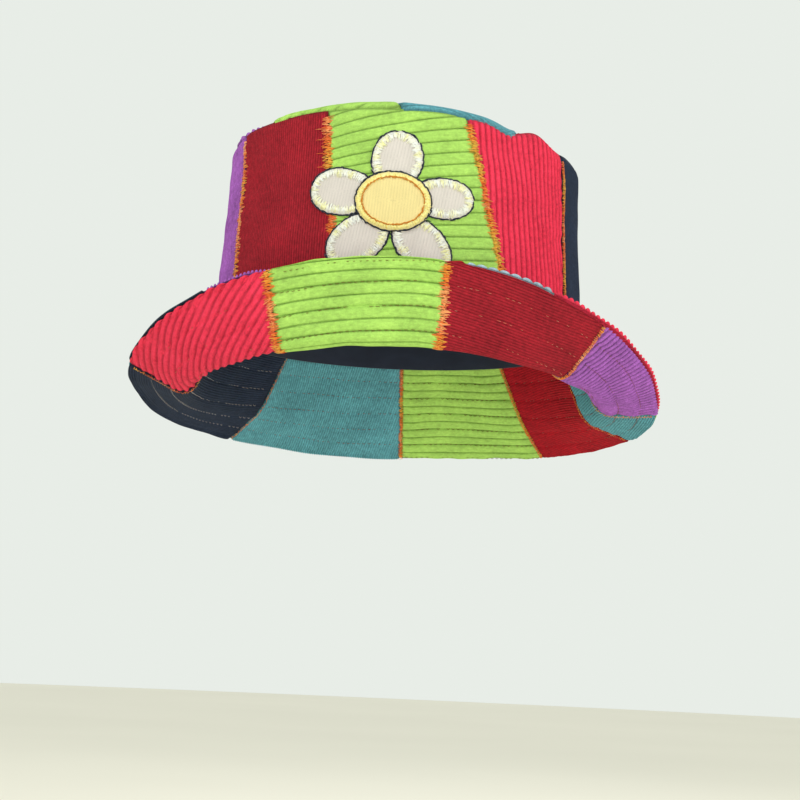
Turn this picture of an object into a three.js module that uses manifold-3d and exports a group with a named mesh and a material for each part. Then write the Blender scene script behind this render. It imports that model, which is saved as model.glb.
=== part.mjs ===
// Patchwork corduroy bucket hat with its front brim turned up and a daisy sewn to the crown.
//
// Millimetres and degrees. +Z runs up the crown and -Y is the front. The origin is the centre of the
// head opening, in the plane of the seam where the crown meets the brim. A bearing is an angle round
// the hat, 0 at the front and growing towards +X.

import * as THREE from 'three';
import { mergeVertices } from 'three/addons/utils/BufferGeometryUtils.js';
import Module from 'manifold-3d';

const wasm = await Module();
wasm.setup();

// ---- driving dimensions ------------------------------------------------------------------------

const CORDUROY = 1.3;                                   // thickness of the outer cloth
const INTERFACING = 0.6;                                // stiffener between the two brim cloths
const LINING = 0.5;                                     // cotton lining
const SWEATBAND = 1.0;
const APPLIQUE = 0.9;                                   // petals and flower centre
const GAP = 0.3;                                        // clear space between touching pieces
const LAYER_GAP = 0.5;                                  // the same, between cloths that curve together

const CROWN_FOOT = { halfWidth: 96, halfDepth: 99 };    // outside of the crown at the brim seam
const CROWN_TOP = { halfWidth: 92, halfDepth: 95 };     // outside of the crown at the tip seam
const CROWN_HEIGHT = { mean: 96.3, once: 1.0, twice: 2.7, side: -2.0 };
const CROWN_START = 2.3;                                // lower edge of the crown cloth
const TIP_DOME = 12;                                    // rise of the tip from its edge to its middle
const TIP_SHOULDER = 2.5;                               // rounded step just inside the tip seam
const SHOULDER_POWER = 16;                              // how tightly that step hugs the edge
const TIP_SLANT = 8;                                    // how far the tip's seams lean from front-to-back

const BRIM_WIDTH = { mean: 69.5, once: 0, twice: 0, side: -2.0 };
const BRIM_TUCK = 1.5;                                  // how far the brim starts inside the crown
const INNER_SLOPE = { mean: -63, once: -10.5, twice: 8.5, side: 0 };
const OUTER_SLOPE = { mean: 13.5, once: 60, twice: 2, side: -9 };
const BEND_PLACE = { mean: 34, once: -5.5, twice: -3, side: 0 };
const BEND_LENGTH = 20;                                 // run of brim over which it turns up

const SWEATBAND_LOW = -1.5;
const SWEATBAND_HIGH = 27;

const FLOWER = { bearing: -2.8, height: 52.5 };         // where the daisy is sewn to the crown
const DISC = { halfWidth: 18.3, halfHeight: 15, tilt: -6 };
const PETAL_SHAPE = 0.93;                               // 1 is an oval, and less is squarer

const DEGREES_PER_STEP = 7.5;
const FULL_TURN_STEPS = 360 / DEGREES_PER_STEP;
const TIP_ROWS = 6;
const BRIM_STEPS = { inside: 2, bend: 6, outside: 3 };
const BRIM_ROWS = BRIM_STEPS.inside + BRIM_STEPS.bend + BRIM_STEPS.outside;
const APPLIQUE_STEPS = 18;
const PROFILE_STEP = 1;                                 // how finely the brim's curve is followed

// ---- cloth colours -----------------------------------------------------------------------------

const CLOTH = {
  green: 0x9bcb55,
  maroon: 0x8e2129,
  pink_red: 0xe23f57,
  crimson: 0xb3202e,
  navy: 0x323b4b,
  purple: 0xa065b4,
  teal: 0x5a8688,
  pale_blue: 0x9fb4c0,
};
const LINING_COLOUR = 0x2b3140;
const SWEATBAND_COLOUR = 0x22262f;
const INTERFACING_COLOUR = 0xe6e2d8;
const PETAL_COLOUR = 0xe4ddd0;
const DISC_COLOUR = 0xf3e69c;

// ---- patches: each runs from its own bearing to the next one's, top and foot -------------------

const CROWN_PATCHES = [
  { name: 'green_front', cloth: 'green', top: -24.5, foot: -18 },
  { name: 'pink_red_right', cloth: 'pink_red', top: 18.5, foot: 34 },
  { name: 'navy_right', cloth: 'navy', top: 61, foot: 61 },
  { name: 'teal_back_right', cloth: 'teal', top: 106, foot: 108 },
  { name: 'crimson_back', cloth: 'crimson', top: 142, foot: 142 },
  { name: 'green_back_left', cloth: 'green', top: 180, foot: 178 },
  { name: 'pink_red_left', cloth: 'pink_red', top: 221, foot: 220 },
  { name: 'purple_left', cloth: 'purple', top: 260, foot: 260 },
  { name: 'maroon_front_left', cloth: 'maroon', top: 298, foot: 300 },
];

const UNDER_PATCHES = [
  { name: 'green_front', cloth: 'green', start: -30 },
  { name: 'maroon_front_right', cloth: 'maroon', start: 10 },
  { name: 'purple_right', cloth: 'purple', start: 47.5 },
  { name: 'teal_right', cloth: 'teal', start: 87 },
  { name: 'crimson_back_right', cloth: 'crimson', start: 110 },
  { name: 'green_back', cloth: 'green', start: 142 },
  { name: 'teal_back_left', cloth: 'teal', start: 178 },
  { name: 'navy_left', cloth: 'navy', start: 220 },
  { name: 'pink_red_front_left', cloth: 'pink_red', start: 274 },
];

const UPPER_PATCHES = [
  { name: 'crimson_front', cloth: 'crimson', start: -18 },
  { name: 'pale_blue_front_right', cloth: 'pale_blue', start: 14 },
  { name: 'pink_red_right', cloth: 'pink_red', start: 34 },
  { name: 'green_back_right', cloth: 'green', start: 88 },
  { name: 'navy_back', cloth: 'navy', start: 132 },
  { name: 'maroon_back_left', cloth: 'maroon', start: 178 },
  { name: 'teal_left', cloth: 'teal', start: 222 },
  { name: 'navy_left', cloth: 'navy', start: 274 },
  { name: 'purple_front_left', cloth: 'purple', start: 313 },
];

const TIP_STRIPS = [
  { name: 'purple', cloth: 'purple', start: -110 },
  { name: 'green', cloth: 'green', start: -75 },
  { name: 'teal', cloth: 'teal', start: -16 },
  { name: 'crimson', cloth: 'crimson', start: 47 },
  { name: 'navy', cloth: 'navy', start: 70 },
];
const TIP_END = 110;

// A petal runs from its root to its reach, both measured from the flower's middle. Its root is moved
// sideways by its lean.
const PETALS = [
  { name: 'petal_right', direction: 6, root: 9.5, reach: 39.2, halfWidth: 10.4, lean: 1.5 },
  { name: 'petal_top', direction: 87, root: 7, reach: 36, halfWidth: 12.5, lean: 0 },
  { name: 'petal_left', direction: 169, root: 9.5, reach: 42.6, halfWidth: 11.9, lean: -1 },
  { name: 'petal_lower_left', direction: 228, root: 9.5, reach: 42, halfWidth: 12.3, lean: 2.5 },
  { name: 'petal_lower_right', direction: 305.5, root: 9.5, reach: 42.5, halfWidth: 11.4, lean: -2.5 },
];

// ---- the surfaces ------------------------------------------------------------------------------

const { degToRad, radToDeg, lerp, smoothstep } = THREE.MathUtils;

// A value that changes smoothly round the hat.
function around({ mean, once, twice, side }, bearing) {
  const angle = degToRad(bearing);
  return mean + once * Math.cos(angle) + twice * Math.cos(2 * angle) + side * Math.sin(angle);
}

function ovalRadius(oval, bearing) {
  const angle = degToRad(bearing);
  return 1 / Math.hypot(Math.sin(angle) / oval.halfWidth, Math.cos(angle) / oval.halfDepth);
}

function place(bearing, radius, height) {
  const angle = degToRad(bearing);
  return new THREE.Vector3(radius * Math.sin(angle), -radius * Math.cos(angle), height);
}

// The crown's outer face is depth 0, and depth grows inwards.
function crownPoint(bearing, height, depth) {
  const share = height / around(CROWN_HEIGHT, bearing);
  const radius = lerp(ovalRadius(CROWN_FOOT, bearing), ovalRadius(CROWN_TOP, bearing), share);
  return place(bearing, radius - depth, height);
}

// The tip, from its middle (share 0) to its edge (share 1). depth is measured straight down.
function tipPoint(bearing, share, depth, inset = 0) {
  const radius = (ovalRadius(CROWN_TOP, bearing) - inset) * share;
  const reach = radius / ovalRadius(CROWN_TOP, bearing);
  const edge = around(CROWN_HEIGHT, bearing) + GAP + CORDUROY;
  const level = lerp(CROWN_HEIGHT.mean + GAP + CORDUROY, edge, reach ** 2);
  const dome = TIP_DOME * (1 - reach ** 2) + TIP_SHOULDER * (1 - reach ** SHOULDER_POWER);
  return place(bearing, radius, level + dome - depth);
}

// Slope of the brim, in radians, at a distance run out from the crown seam.
function brimSlope(bearing, run) {
  const bend = around(BEND_PLACE, bearing);
  const turned = smoothstep(run, bend - BEND_LENGTH / 2, bend + BEND_LENGTH / 2);
  return degToRad(lerp(around(INNER_SLOPE, bearing), around(OUTER_SLOPE, bearing), turned));
}

// The brim's lower face is lift 0, and lift grows towards its upper face.
function brimPoint(bearing, run, lift) {
  const steps = Math.max(1, Math.ceil(run / PROFILE_STEP));
  const step = run / steps;
  let radius = ovalRadius(CROWN_FOOT, bearing) - BRIM_TUCK;
  let height = 0;
  for (let i = 0; i < steps; i += 1) {
    const slope = brimSlope(bearing, (i + 0.5) * step);
    radius += step * Math.cos(slope);
    height += step * Math.sin(slope);
  }
  const slope = brimSlope(bearing, run);
  return place(bearing, radius - lift * Math.sin(slope), height + lift * Math.cos(slope));
}

// Share 0 to 1 of the brim's width as a run, with close steps where the brim bends.
function brimRun(bearing, share) {
  const { inside, bend, outside } = BRIM_STEPS;
  const step = share * BRIM_ROWS;
  const bendStart = around(BEND_PLACE, bearing) - BEND_LENGTH / 2;
  const bendEnd = bendStart + BEND_LENGTH;
  if (step <= inside) return bendStart * step / inside;
  if (step <= inside + bend) return lerp(bendStart, bendEnd, (step - inside) / bend);
  return lerp(bendEnd, around(BRIM_WIDTH, bearing), (step - inside - bend) / outside);
}

// ---- solids ------------------------------------------------------------------------------------

// Joins equal corners, drops the triangles that this makes empty, and turns the faces outwards.
function closedGeometry(positions, triangles) {
  const raw = new THREE.BufferGeometry();
  raw.setAttribute('position', new THREE.Float32BufferAttribute(positions, 3));
  raw.setIndex(triangles.flat());
  const geometry = mergeVertices(raw);
  const index = geometry.index.array;
  const corner = new THREE.Vector3();
  const corners = (i) => [index[i], index[i + 1], index[i + 2]];
  const at = (i) => corner.fromBufferAttribute(geometry.attributes.position, i).clone();
  const kept = [];
  let volume = 0;
  for (let i = 0; i < index.length; i += 3) {
    const [a, b, c] = corners(i);
    if (a !== b && b !== c && c !== a) {
      kept.push([a, b, c]);
      volume += at(a).dot(at(b).cross(at(c)));
    }
  }
  geometry.setIndex((volume > 0 ? kept : kept.map(([a, b, c]) => [a, c, b])).flat());
  geometry.computeVertexNormals();
  return geometry;
}

// A closed slab: both faces of a patch and the walls round its border. at(u, v, w) gives a point:
// u and v run 0 to 1 over the patch, and w is 0 on one face and 1 on the other. A ring has its two
// u ends joined, and so no walls there.
function slab(at, uSteps, vSteps, ring = false) {
  const positions = [];
  for (let w = 0; w <= 1; w += 1) {
    for (let j = 0; j <= vSteps; j += 1) {
      for (let i = 0; i <= uSteps; i += 1) {
        const u = ring ? (i % uSteps) / uSteps : i / uSteps;
        positions.push(...at(u, j / vSteps, w).toArray());
      }
    }
  }
  const corner = (i, j, w) => (w * (vSteps + 1) + j) * (uSteps + 1) + i;
  const triangles = [];
  const quad = (a, b, c, d) => triangles.push([a, b, c], [a, c, d]);
  for (let i = 0; i < uSteps; i += 1) {
    for (let j = 0; j < vSteps; j += 1) {
      quad(corner(i, j, 1), corner(i + 1, j, 1), corner(i + 1, j + 1, 1), corner(i, j + 1, 1));
      quad(corner(i, j, 0), corner(i, j + 1, 0), corner(i + 1, j + 1, 0), corner(i + 1, j, 0));
    }
    quad(corner(i + 1, 0, 1), corner(i, 0, 1), corner(i, 0, 0), corner(i + 1, 0, 0));
    quad(corner(i, vSteps, 1), corner(i + 1, vSteps, 1), corner(i + 1, vSteps, 0), corner(i, vSteps, 0));
  }
  for (let j = 0; j < vSteps && !ring; j += 1) {
    quad(corner(0, j, 1), corner(0, j + 1, 1), corner(0, j + 1, 0), corner(0, j, 0));
    quad(corner(uSteps, j + 1, 1), corner(uSteps, j, 1), corner(uSteps, j, 0), corner(uSteps, j + 1, 0));
  }
  return closedGeometry(positions, triangles);
}

function toSolid(geometry) {
  const bare = geometry.clone();
  bare.deleteAttribute('normal');
  bare.deleteAttribute('uv');
  const welded = mergeVertices(bare);
  const mesh = new wasm.Mesh({
    numProp: 3,
    vertProperties: Float32Array.from(welded.attributes.position.array),
    triVerts: Uint32Array.from(welded.index.array),
  });
  return new wasm.Manifold(mesh);
}

function fromSolid(solid) {
  const mesh = solid.getMesh();
  const geometry = new THREE.BufferGeometry();
  geometry.setAttribute('position', new THREE.BufferAttribute(mesh.vertProperties, 3));
  geometry.setIndex(new THREE.BufferAttribute(mesh.triVerts, 1));
  geometry.computeVertexNormals();
  return geometry;
}

// ---- the hat -----------------------------------------------------------------------------------

const hat = new THREE.Group();

function addPiece(name, geometry, color, roughness = 0.95) {
  const material = new THREE.MeshStandardMaterial({ color, roughness, metalness: 0 });
  const piece = new THREE.Mesh(geometry, material);
  piece.name = name;
  hat.add(piece);
}

// The bearing that a patch's end has, at a patch list's next entry.
function nextPatch(patches, i) {
  const wraps = i + 1 === patches.length;
  return { next: patches[(i + 1) % patches.length], turn: wraps ? 360 : 0 };
}

// Bearing at share u between two seams, less half a gap at each of them.
function between(from, to, u, radius) {
  const margin = radToDeg(GAP / 2 / radius);
  return lerp(from + margin, to - margin, u);
}

function addCrownSides() {
  CROWN_PATCHES.forEach((patch, i) => {
    const { next, turn } = nextPatch(CROWN_PATCHES, i);
    const at = (u, v, w) => {
      const from = lerp(patch.foot, patch.top, v);
      const to = lerp(next.foot, next.top, v) + turn;
      const bearing = between(from, to, u, CROWN_TOP.halfWidth);
      return crownPoint(bearing, lerp(CROWN_START, around(CROWN_HEIGHT, bearing), v), CORDUROY * (1 - w));
    };
    const steps = Math.ceil((next.foot + turn - patch.foot) / DEGREES_PER_STEP);
    addPiece(`crown_side_${patch.name}`, slab(at, steps, 3), CLOTH[patch.cloth]);
  });
}

// The tip is one domed piece, cut into strips.
function addTip() {
  const at = (u, v, w) => tipPoint(360 * u, Math.sin(v * Math.PI / 2), CORDUROY * (1 - w));
  const whole = toSolid(slab(at, FULL_TURN_STEPS, TIP_ROWS, true));
  TIP_STRIPS.forEach((strip, i) => {
    const end = i + 1 < TIP_STRIPS.length ? TIP_STRIPS[i + 1].start : TIP_END;
    const cutter = new THREE.BoxGeometry(end - strip.start - GAP, 2 * TIP_END, 2 * CROWN_HEIGHT.mean);
    cutter.translate((strip.start + end) / 2, 0, CROWN_HEIGHT.mean);
    cutter.rotateZ(degToRad(TIP_SLANT));
    addPiece(`crown_tip_${strip.name}`, fromSolid(whole.intersect(toSolid(cutter))), CLOTH[strip.cloth]);
  });
}

// One layer of the brim, cut into patches.
function addBrimLayer(prefix, patches, low, high) {
  patches.forEach((patch, i) => {
    const { next, turn } = nextPatch(patches, i);
    const at = (u, v, w) => {
      const bearing = between(patch.start, next.start + turn, u, CROWN_FOOT.halfWidth);
      return brimPoint(bearing, brimRun(bearing, v), lerp(low, high, w));
    };
    const steps = Math.ceil((next.start + turn - patch.start) / DEGREES_PER_STEP);
    addPiece(`${prefix}_${patch.name}`, slab(at, steps, BRIM_ROWS), CLOTH[patch.cloth]);
  });
}

function addBrim() {
  const stiffenerLow = CORDUROY + LAYER_GAP;
  const stiffenerHigh = stiffenerLow + INTERFACING;
  const upperLow = stiffenerHigh + LAYER_GAP;
  addBrimLayer('brim_under', UNDER_PATCHES, 0, CORDUROY);
  addBrimLayer('brim_upper', UPPER_PATCHES, upperLow, upperLow + CORDUROY);
  const at = (u, v, w) => {
    const bearing = 360 * u;
    return brimPoint(bearing, brimRun(bearing, v), lerp(stiffenerLow, stiffenerHigh, w));
  };
  addPiece('brim_interfacing', slab(at, FULL_TURN_STEPS, BRIM_ROWS, true), INTERFACING_COLOUR);
}

function addInside() {
  const liningDepth = CORDUROY + LAYER_GAP;
  const side = (u, v, w) => {
    const top = around(CROWN_HEIGHT, 360 * u) - GAP;
    return crownPoint(360 * u, lerp(CROWN_START, top, v), liningDepth + LINING * (1 - w));
  };
  addPiece('crown_lining_side', slab(side, FULL_TURN_STEPS, 1, true), LINING_COLOUR);
  const inset = liningDepth + LINING;
  const tip = (u, v, w) => {
    const share = Math.sin(v * Math.PI / 2);
    return tipPoint(360 * u, share, liningDepth + LINING * (1 - w), inset);
  };
  addPiece('crown_lining_tip', slab(tip, FULL_TURN_STEPS, TIP_ROWS - 2, true), LINING_COLOUR);
  const bandDepth = liningDepth + LINING + GAP;
  const band = (u, v, w) => {
    return crownPoint(360 * u, lerp(SWEATBAND_LOW, SWEATBAND_HIGH, v), bandDepth + SWEATBAND * (1 - w));
  };
  addPiece('sweatband', slab(band, FULL_TURN_STEPS, 1, true), SWEATBAND_COLOUR, 0.85);
}

// A point of the applique, from flat coordinates about the flower's middle, laid on the crown.
function flowerPoint(across, up, lift) {
  const bearing = FLOWER.bearing + radToDeg(across / CROWN_TOP.halfDepth);
  return crownPoint(bearing, FLOWER.height + up, -lift);
}

// A sine or cosine that makes an outline a little squarer than an oval.
function squared(value) {
  return Math.sign(value) * Math.abs(value) ** PETAL_SHAPE;
}

function addFlower() {
  for (const { name, direction, root, reach, halfWidth, lean } of PETALS) {
    const middle = (reach + root) / 2;
    const heading = degToRad(direction);
    const at = (u, v, w) => {
      const angle = 2 * Math.PI * u;
      const along = middle + v * (reach - middle) * squared(Math.cos(angle));
      const shift = lean * ((reach - along) / (reach - root)) ** 2;
      const across = v * halfWidth * squared(Math.sin(angle)) + shift;
      const x = along * Math.cos(heading) - across * Math.sin(heading);
      const y = along * Math.sin(heading) + across * Math.cos(heading);
      return flowerPoint(x, y, GAP + APPLIQUE * w);
    };
    addPiece(name, slab(at, APPLIQUE_STEPS, 2, true), PETAL_COLOUR);
  }
  const tilt = degToRad(DISC.tilt);
  const disc = (u, v, w) => {
    const across = v * DISC.halfWidth * Math.cos(2 * Math.PI * u);
    const up = v * DISC.halfHeight * Math.sin(2 * Math.PI * u);
    const x = across * Math.cos(tilt) - up * Math.sin(tilt);
    const y = across * Math.sin(tilt) + up * Math.cos(tilt);
    return flowerPoint(x, y, 2 * GAP + APPLIQUE * (1 + w));
  };
  addPiece('flower_centre', slab(disc, APPLIQUE_STEPS, 2, true), DISC_COLOUR);
}

addCrownSides();
addTip();
addBrim();
addInside();
addFlower();

export default hat;
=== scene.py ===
"""Patchwork corduroy bucket hat with a turned-up front brim and a daisy sewn to its crown.

Shapes are worked out in millimetres on the same surfaces as the CAD model, and become metres when a
mesh is made. A bearing is an angle round the hat in degrees, 0 at the front and growing towards +X.
A lift is a distance off a surface. The weave coordinates of a cloth are millimetres across and along
its ribs.
"""

import math

import bpy
import numpy as np
from mathutils import Matrix, Vector


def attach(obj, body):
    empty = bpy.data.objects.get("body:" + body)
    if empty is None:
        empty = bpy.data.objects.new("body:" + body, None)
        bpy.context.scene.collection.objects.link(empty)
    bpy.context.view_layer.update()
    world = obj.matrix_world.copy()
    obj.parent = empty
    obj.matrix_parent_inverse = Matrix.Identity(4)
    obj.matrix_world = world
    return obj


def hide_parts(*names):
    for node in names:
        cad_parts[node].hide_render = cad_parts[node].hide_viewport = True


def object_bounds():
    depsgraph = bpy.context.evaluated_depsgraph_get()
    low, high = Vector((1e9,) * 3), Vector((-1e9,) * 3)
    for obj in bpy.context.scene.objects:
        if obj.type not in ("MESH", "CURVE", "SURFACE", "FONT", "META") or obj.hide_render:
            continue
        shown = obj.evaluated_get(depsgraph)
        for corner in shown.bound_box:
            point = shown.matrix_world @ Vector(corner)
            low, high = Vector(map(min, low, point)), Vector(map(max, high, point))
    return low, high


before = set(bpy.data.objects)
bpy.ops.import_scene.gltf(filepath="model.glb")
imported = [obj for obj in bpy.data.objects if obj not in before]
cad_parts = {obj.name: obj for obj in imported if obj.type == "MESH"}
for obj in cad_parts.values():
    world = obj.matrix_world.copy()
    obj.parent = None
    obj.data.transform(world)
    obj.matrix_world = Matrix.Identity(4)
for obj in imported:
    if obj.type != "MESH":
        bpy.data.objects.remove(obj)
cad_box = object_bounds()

MM = 0.001

# ---- driving dimensions, as in the CAD model ----

CROWN_FOOT = (96.0, 99.0)  # half width and half depth at the brim seam
CROWN_TOP = (92.0, 95.0)
CROWN_HEIGHT = (96.3, 1.0, 2.7, -2.0)  # mean, then shares of cos b, cos 2b and sin b
TIP_EDGE = 1.6  # the tip's edge above the top of the crown's side
TIP_DOME = 12.0
TIP_SHOULDER = 2.5
SHOULDER_POWER = 16
TIP_SLANT = 8.0

BRIM_WIDTH = (69.5, 0.0, 0.0, -2.0)
BRIM_TUCK = 1.5
INNER_SLOPE = (-63.0, -10.5, 8.5, 0.0)
OUTER_SLOPE = (13.5, 60.0, 2.0, -9.0)
BEND_PLACE = (34.0, -5.5, -3.0, 0.0)
BEND_LENGTH = 20.0

CROWN_FLARE = 2.2  # how far the crown's foot spreads onto the brim
PATCH_RADIUS = CROWN_TOP[0] + 2  # where the flat width of a crown patch is measured
PATCH_START = 1.2  # a crown patch's foot above the brim seam
CLOTH = 1.3
UPPER_LIFT = 4.2  # the brim's upper face above its lower one
UPPER_BACK = 2.9
STIFFENER = (1.8, 2.4)
UPPER_START = -1.6  # where the upper cloth starts inside the crown's seam
UNDER_CURL = 1.5  # how tightly each cloth's outer edge rolls over
UPPER_CURL = 2.4

SIDE_LINING = (615, 95)  # flat sizes of the inner cloths
SWEATBAND = (600, 28.5)
STIFFENER_SHEET = (860, 69)
STIFFENER_LENGTH = 740  # the stiffener's length along its middle
TIP_LINING = (183, 189)

FLOWER = (-2.8, 52.5)  # bearing and height of the daisy's middle
DISC = (18.3, 15.0)
DISC_TILT = -6.0
PETAL_SHAPE = 0.93  # 1 is an oval, and less is squarer

# ---- patches, as in the CAD model: name, cloth, start bearings, rib direction ----
# A rib direction of 0 runs round the hat, and 90 runs up the crown or out across the brim.

CROWN_PATCHES = [
    ("green_front", "green", -24.5, -18, (3, 13)),
    ("pink_red_right", "pink_red", 18.5, 34, 94),
    ("navy_right", "navy", 61, 61, 90),
    ("teal_back_right", "teal", 106, 108, 90),
    ("crimson_back", "crimson", 142, 142, 90),
    ("green_back_left", "green", 180, 178, 90),
    ("pink_red_left", "pink_red", 221, 220, 0),
    ("purple_left", "purple", 260, 260, 90),
    ("maroon_front_left", "maroon", 298, 300, 90),
]
UNDER_PATCHES = [
    ("green_front", "green", -30, 0),
    ("maroon_front_right", "maroon", 10, 2),
    ("purple_right", "purple", 47.5, 86),
    ("teal_right", "teal", 87, 4),
    ("crimson_back_right", "crimson", 110, 8),
    ("green_back", "green", 142, 0),
    ("teal_back_left", "teal", 178, 90),
    ("navy_left", "navy", 220, 0),
    ("pink_red_front_left", "pink_red", 274, 28),
]
UPPER_PATCHES = [
    ("crimson_front", "crimson", -18, 0),
    ("pale_blue_front_right", "pale_blue", 14, 90),
    ("pink_red_right", "pink_red", 34, 88),
    ("green_back_right", "green", 88, 0),
    ("navy_back", "navy", 132, 0),
    ("maroon_back_left", "maroon", 178, 90),
    ("teal_left", "teal", 222, 0),
    ("navy_left", "navy", 274, 90),
    ("purple_front_left", "purple", 313, 90),
]
TIP_STRIPS = [
    ("purple", "purple", -91.4, 90),
    ("green", "green", -75, 0),
    ("teal", "teal", -16, 0),
    ("crimson", "crimson", 47, 90),
    ("navy", "navy", 70, 0),
]
TIP_END = 91.4

# Each petal's name, direction, root, reach, half width and lean, which moves its root sideways.
PETALS = [
    ("petal_right", 6, 9.5, 39.2, 10.4, 1.5),
    ("petal_top", 87, 7, 36, 12.5, 0),
    ("petal_left", 169, 9.5, 42.6, 11.9, -1),
    ("petal_lower_left", 228, 9.5, 42, 12.3, 2.5),
    ("petal_lower_right", 305.5, 9.5, 42.5, 11.4, -2.5),
]

# ---- cloths and threads ----

# Rib pitch and height in mm, how flat the top of a rib is (0 round, 1 flat), how dark the shade painted
# into a groove is, and how uneven the pile is.
RIBS = {
    "jumbo": (5.75, 0.85, 1.0, 0.42, 0.75),
    "bold": (6.0, 1.0, 0.35, 0.42, 0.9),
    "wide": (3.5, 1.2, 0.0, 0.40, 1.3),
    "medium": (2.35, 1.15, 0.0, 0.10, 1.2),
    "needle": (1.4, 0.36, 0.0, 0.42, 1.4),
}
CLOTHS = {
    "green": ("jumbo", (0.67, 0.85, 0.40)),
    "maroon": ("needle", (0.64, 0.13, 0.18)),
    "pink_red": ("wide", (0.96, 0.23, 0.34)),
    "crimson": ("needle", (0.70, 0.08, 0.14)),
    "navy": ("needle", (0.16, 0.20, 0.28)),
    "purple": ("medium", (0.66, 0.39, 0.73)),
    "teal": ("needle", (0.37, 0.63, 0.68)),
    "pale_blue": ("bold", (0.64, 0.74, 0.80)),
}
BROADER = {  # patches whose ribs are broader than their cloth's
    "brim_under_pink_red_front_left": 1.22,
    "brim_under_purple_right": 1.25,
}
LINING = (0.26, 0.29, 0.38)
BAND = (0.20, 0.23, 0.30)
STIFFENER_COLOUR = (0.88, 0.86, 0.80)
PETAL_COLOUR = (0.85, 0.82, 0.79)
DISC_COLOUR = (0.93, 0.86, 0.60)

FACE_LIFT = 0.3  # the tops of the ribs above the CAD patch
EDGE_ROWS = (0.0, 0.25, 0.55, 0.95, 1.5)  # extra rows of points beside every edge of a patch
SEAM_DIP = 0.8
BACK_STEP = 6  # a cloth's hidden face has every sixth point
STITCH_ROWS = (11.5, 23.0, 34.5, 46.0, 57.5, 67.3)


# ---- numbers ----

def lerp(a, b, t):
    return a + (b - a) * t


def smooth(x, low, high):
    t = np.clip((x - low) / (high - low), 0, 1)
    return t * t * (3 - 2 * t)


def near(value, middle, width):
    """1 at the middle, falling to 0 over about the given width."""
    return np.exp(-((value - middle) / width) ** 2)


def around(series, bearing):
    """A value that changes smoothly round the hat."""
    angle = np.radians(bearing)
    mean, once, twice, side = series
    return mean + once * np.cos(angle) + twice * np.cos(2 * angle) + side * np.sin(angle)


def oval(halves, bearing):
    angle = np.radians(bearing)
    return 1 / np.hypot(np.sin(angle) / halves[0], np.cos(angle) / halves[1])


def place(bearing, radius, height):
    angle = np.radians(bearing)
    return np.stack(np.broadcast_arrays(radius * np.sin(angle), -radius * np.cos(angle), height), -1)


def ripple(x, y, size, seed):
    """Smooth unevenness of about -1 to 1, with lumps of about the given size."""
    rng = np.random.default_rng(seed)
    total = np.zeros(np.broadcast(x, y).shape)
    for _ in range(7):
        heading = rng.uniform(0, 2 * math.pi)
        wave = math.pi / size * rng.uniform(0.6, 1.5)
        phase = rng.uniform(0, 2 * math.pi)
        total = total + np.sin(wave * (x * math.cos(heading) + y * math.sin(heading)) + phase)
    return total / 2.6


# ---- surfaces ----

def crown_wall(bearing, height, lift):
    share = height / around(CROWN_HEIGHT, bearing)
    return place(bearing, lerp(oval(CROWN_FOOT, bearing), oval(CROWN_TOP, bearing), share) + lift, height)


def crown_at(bearing, height, lift):
    """The crown's outside, which flares a little where it meets the brim."""
    flare = CROWN_FLARE * np.exp(-np.maximum(height - 2.0, 0) / 6)
    return crown_wall(bearing, height, lift + flare)


def brim_slope(bearing, run):
    bend = around(BEND_PLACE, bearing)
    turned = smooth(run, bend - BEND_LENGTH / 2, bend + BEND_LENGTH / 2)
    return np.radians(lerp(around(INNER_SLOPE, bearing), around(OUTER_SLOPE, bearing), turned))


BEARING_STEP = 2.0
RUN_STEP = 0.5
RUN_START = -6.0


def brim_table():
    """Radius, height and slope of the brim's lower face, by bearing and by run out from the crown."""
    runs = np.arange(RUN_START, 90, RUN_STEP)
    bearings, run = np.meshgrid(np.arange(0, 361, BEARING_STEP), runs, indexing="ij")
    slope = brim_slope(bearings, run)
    start = int(round(-RUN_START / RUN_STEP))

    def summed(rate):
        total = np.cumsum((rate[:, 1:] + rate[:, :-1]) * RUN_STEP / 2, axis=1)
        total = np.concatenate([np.zeros((len(rate), 1)), total], axis=1)
        return total - total[:, start:start + 1]

    radius = oval(CROWN_FOOT, bearings) - BRIM_TUCK + summed(np.cos(slope))
    return np.stack([radius, summed(np.sin(slope)), slope], -1)


BRIM = brim_table()


def brim_at(bearing, run, lift):
    bearing, run, lift = np.broadcast_arrays(np.asarray(bearing, float), run, lift)
    i = (bearing % 360) / BEARING_STEP
    j = np.clip((run - RUN_START) / RUN_STEP, 0, BRIM.shape[1] - 1.001)
    i0 = np.minimum(i.astype(int), BRIM.shape[0] - 2)
    j0 = j.astype(int)
    a = (i - i0)[..., None]
    b = (j - j0)[..., None]
    before = lerp(BRIM[i0, j0], BRIM[i0, j0 + 1], b)
    after = lerp(BRIM[i0 + 1, j0], BRIM[i0 + 1, j0 + 1], b)
    radius, height, slope = np.moveaxis(lerp(before, after, a), -1, 0)
    return place(bearing, radius - lift * np.sin(slope), height + lift * np.cos(slope))


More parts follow.
